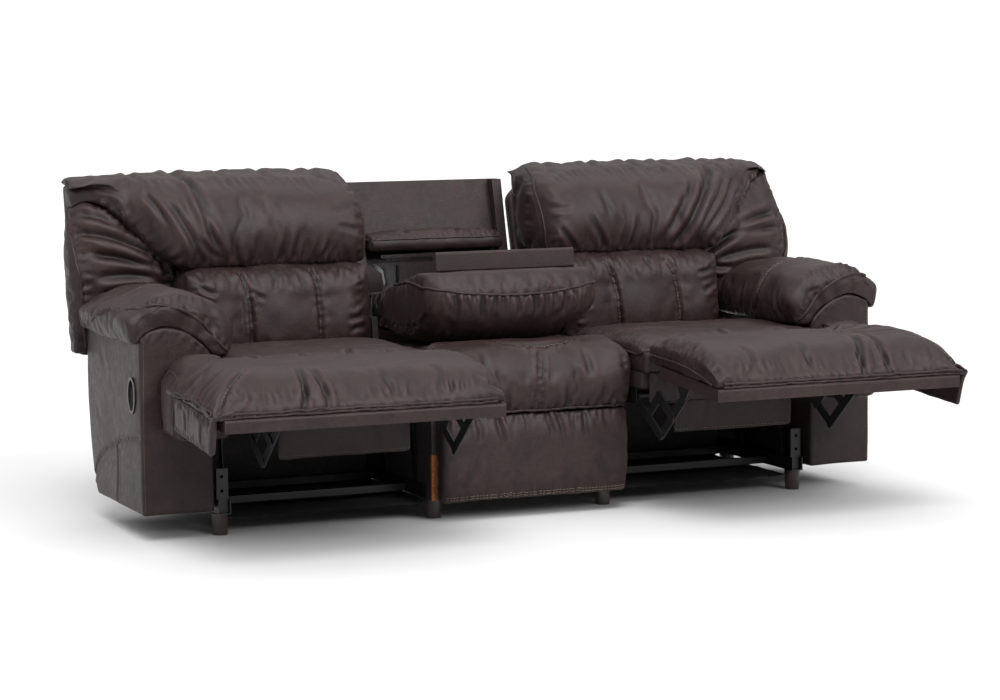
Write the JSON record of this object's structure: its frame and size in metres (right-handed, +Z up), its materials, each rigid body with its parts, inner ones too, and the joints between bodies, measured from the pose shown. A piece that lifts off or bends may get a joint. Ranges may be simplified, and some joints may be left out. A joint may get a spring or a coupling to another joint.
{
  "type": "sofa with drop down console",
  "caption": "Wide padded sofa with reclining end seats, footrests raised on scissor links, and a centre back folded down as a console tray.",
  "frame": {"origin": "on the floor, at the middle of the bounding box", "axes": "+X to the right of someone facing the sofa, +Y to the back, +Z up"},
  "size_m": [2.3392, 1.364, 0.97],
  "materials": {
    "upholstery": "matt, brushed, dark brown leather-look cloth",
    "covered_board": "board covered in the same dark brown cloth",
    "bare_wood": "bare plywood",
    "foot_wood": "dark stained, satin",
    "black_steel": "black paint, satin",
    "bright_steel": "zinc-plated",
    "black_plastic": "fine grain, satin"
  },
  "bodies": {
    "base": {"feet": "foot_wood", "centre_frame": "bare_wood", "centre_seat_cushion": "upholstery", "centre_front_panel": "upholstery", "console_shell": "covered_board", "console_brackets": "black_steel", "left_base_frame": "black_steel", "left_arm_body": "upholstery", "left_arm_pad": "upholstery", "left_handle_cup": "black_plastic", "right_base_frame": "black_steel", "right_arm_body": "upholstery", "right_arm_pad": "upholstery", "right_handle_cup": "black_plastic"},
    "console": {"console_tray": "covered_board", "console_box": "bare_wood", "console_pillow": "upholstery", "console_hinge_arms": "black_steel", "console_levers": "bright_steel"},
    "flap": {"console_flap": "upholstery"},
    "left_front_swing": {"left_front_swing_links": "black_steel"},
    "left_rear_swing": {"left_rear_swing_links": "black_steel"},
    "left_seat": {"left_seat_carriage": "black_steel", "left_seat_frame": "bare_wood", "left_seat_cushion": "upholstery", "left_seat_apron": "upholstery"},
    "left_back": {"left_back_panel": "covered_board", "left_back_hinge_arms": "black_steel", "left_lumbar_cushion": "upholstery", "left_head_pillow": "upholstery", "left_wing_bolster": "upholstery"},
    "left_drive": {"left_drive_links": "black_steel"},
    "left_reach": {"left_reach_links": "black_steel"},
    "left_lower_scissor": {"left_lower_scissor_links": "black_steel"},
    "left_upper_scissor": {"left_upper_scissor_links": "black_steel"},
    "left_footrest": {"left_footrest_board": "covered_board", "left_footrest_pad": "upholstery", "left_footrest_flap": "upholstery", "left_footrest_brackets": "black_steel"},
    "left_handle": {"left_pull_handle": "black_plastic"},
    "right_front_swing": {"right_front_swing_links": "black_steel"},
    "right_rear_swing": {"right_rear_swing_links": "black_steel"},
    "right_seat": {"right_seat_carriage": "black_steel", "right_seat_frame": "bare_wood", "right_seat_cushion": "upholstery", "right_seat_apron": "upholstery"},
    "right_back": {"right_back_panel": "covered_board", "right_back_hinge_arms": "black_steel", "right_lumbar_cushion": "upholstery", "right_head_pillow": "upholstery", "right_wing_bolster": "upholstery"},
    "right_drive": {"right_drive_links": "black_steel"},
    "right_reach": {"right_reach_links": "black_steel"},
    "right_lower_scissor": {"right_lower_scissor_links": "black_steel"},
    "right_upper_scissor": {"right_upper_scissor_links": "black_steel"},
    "right_footrest": {"right_footrest_board": "covered_board", "right_footrest_pad": "upholstery", "right_footrest_flap": "upholstery", "right_footrest_brackets": "black_steel"},
    "right_handle": {"right_pull_handle": "black_plastic"}
  },
  "joints": [
    {"name": "left_front_swing", "type": "hinge", "parent": "base", "child": "left_front_swing", "pos_m": [-0.59, -0.00825, 0.15], "axis": [1, 0, 0], "range_deg": [0, 16]},
    {"name": "left_seat_glide", "type": "hinge", "parent": "left_front_swing", "child": "left_seat", "pos_m": [-0.59, 0.00706, 0.25893], "axis": [1, 0, 0], "range_deg": [-16, 0]},
    {"name": "left_rear_swing", "type": "hinge", "parent": "base", "child": "left_rear_swing", "pos_m": [-0.59, 0.24175, 0.15], "axis": [1, 0, 0], "range_deg": [0, 16]},
    {"name": "left_recline", "type": "hinge", "parent": "left_seat", "child": "left_back", "pos_m": [-0.59, 0.36175, 0.33], "axis": [1, 0, 0], "range_deg": [-22.4, 0]},
    {"name": "left_footrest_drive", "type": "hinge", "parent": "left_seat", "child": "left_drive", "pos_m": [-0.59, -0.16825, 0.33], "axis": [1, 0, 0], "range_deg": [0, 79.6]},
    {"name": "left_footrest_reach", "type": "hinge", "parent": "left_drive", "child": "left_reach", "pos_m": [-0.59, -0.33196, 0.23357], "axis": [1, 0, 0], "range_deg": [-83.9, 0]},
    {"name": "left_footrest_level", "type": "hinge", "parent": "left_reach", "child": "left_footrest", "pos_m": [-0.59, -0.47687, 0.35646], "axis": [1, 0, 0], "range_deg": [0, 89.3]},
    {"name": "left_lower_scissor", "type": "hinge", "parent": "left_drive", "child": "left_lower_scissor", "pos_m": [-0.59, -0.2501, 0.28178], "axis": [1, 0, 0], "range_deg": [-83.9, 0]},
    {"name": "left_upper_scissor", "type": "hinge", "parent": "left_reach", "child": "left_upper_scissor", "pos_m": [-0.59, -0.40441, 0.29501], "axis": [1, 0, 0], "range_deg": [0, 83.9]},
    {"name": "left_release_handle", "type": "hinge", "parent": "base", "child": "left_handle", "pos_m": [-1.128, -0.05685, 0.396], "axis": [0, 0, 1], "range_deg": [0, 25], "stiffness_Nm_per_rad": 0.6},
    {"name": "right_front_swing", "type": "hinge", "parent": "base", "child": "right_front_swing", "pos_m": [0.59, -0.00825, 0.15], "axis": [1, 0, 0], "range_deg": [0, 16]},
    {"name": "right_seat_glide", "type": "hinge", "parent": "right_front_swing", "child": "right_seat", "pos_m": [0.59, 0.00706, 0.25893], "axis": [1, 0, 0], "range_deg": [-16, 0]},
    {"name": "right_rear_swing", "type": "hinge", "parent": "base", "child": "right_rear_swing", "pos_m": [0.59, 0.24175, 0.15], "axis": [1, 0, 0], "range_deg": [0, 16]},
    {"name": "right_recline", "type": "hinge", "parent": "right_seat", "child": "right_back", "pos_m": [0.59, 0.36175, 0.33], "axis": [1, 0, 0], "range_deg": [-22.4, 0]},
    {"name": "right_footrest_drive", "type": "hinge", "parent": "right_seat", "child": "right_drive", "pos_m": [0.59, -0.16825, 0.33], "axis": [1, 0, 0], "range_deg": [0, 79.6]},
    {"name": "right_footrest_reach", "type": "hinge", "parent": "right_drive", "child": "right_reach", "pos_m": [0.59, -0.33196, 0.23357], "axis": [1, 0, 0], "range_deg": [-83.9, 0]},
    {"name": "right_footrest_level", "type": "hinge", "parent": "right_reach", "child": "right_footrest", "pos_m": [0.59, -0.47687, 0.35646], "axis": [1, 0, 0], "range_deg": [0, 89.3]},
    {"name": "right_lower_scissor", "type": "hinge", "parent": "right_drive", "child": "right_lower_scissor", "pos_m": [0.59, -0.2501, 0.28178], "axis": [1, 0, 0], "range_deg": [-83.9, 0]},
    {"name": "right_upper_scissor", "type": "hinge", "parent": "right_reach", "child": "right_upper_scissor", "pos_m": [0.59, -0.40441, 0.29501], "axis": [1, 0, 0], "range_deg": [0, 83.9]},
    {"name": "right_release_handle", "type": "hinge", "parent": "base", "child": "right_handle", "pos_m": [1.128, -0.05685, 0.396], "axis": [0, 0, 1], "range_deg": [-25, 0], "stiffness_Nm_per_rad": 0.6},
    {"name": "console_fold", "type": "hinge", "parent": "base", "child": "console", "pos_m": [0, 0.35875, 0.56], "axis": [1, 0, 0], "range_deg": [-98.8, 0]},
    {"name": "console_flap_fold", "type": "hinge", "parent": "base", "child": "flap", "pos_m": [0, 0.62735, 0.768], "axis": [1, 0, 0], "range_deg": [-103.3, 0]}
  ],
  "couplings": [
    {"joint": "left_seat_glide", "follows": "left_front_swing", "ratio": -1},
    {"joint": "left_rear_swing", "follows": "left_front_swing", "ratio": 1},
    {"joint": "left_recline", "follows": "left_front_swing", "ratio": -1.4},
    {"joint": "left_footrest_reach", "follows": "left_footrest_drive", "ratio": -1.054},
    {"joint": "left_footrest_level", "follows": "left_footrest_drive", "ratio": 1.1218},
    {"joint": "left_lower_scissor", "follows": "left_footrest_drive", "ratio": -1.054},
    {"joint": "left_upper_scissor", "follows": "left_footrest_drive", "ratio": 1.054},
    {"joint": "right_seat_glide", "follows": "right_front_swing", "ratio": -1},
    {"joint": "right_rear_swing", "follows": "right_front_swing", "ratio": 1},
    {"joint": "right_recline", "follows": "right_front_swing", "ratio": -1.4},
    {"joint": "right_footrest_reach", "follows": "right_footrest_drive", "ratio": -1.054},
    {"joint": "right_footrest_level", "follows": "right_footrest_drive", "ratio": 1.1218},
    {"joint": "right_lower_scissor", "follows": "right_footrest_drive", "ratio": -1.054},
    {"joint": "right_upper_scissor", "follows": "right_footrest_drive", "ratio": 1.054},
    {"joint": "console_flap_fold", "follows": "console_fold", "ratio": 1.0455}
  ]
}
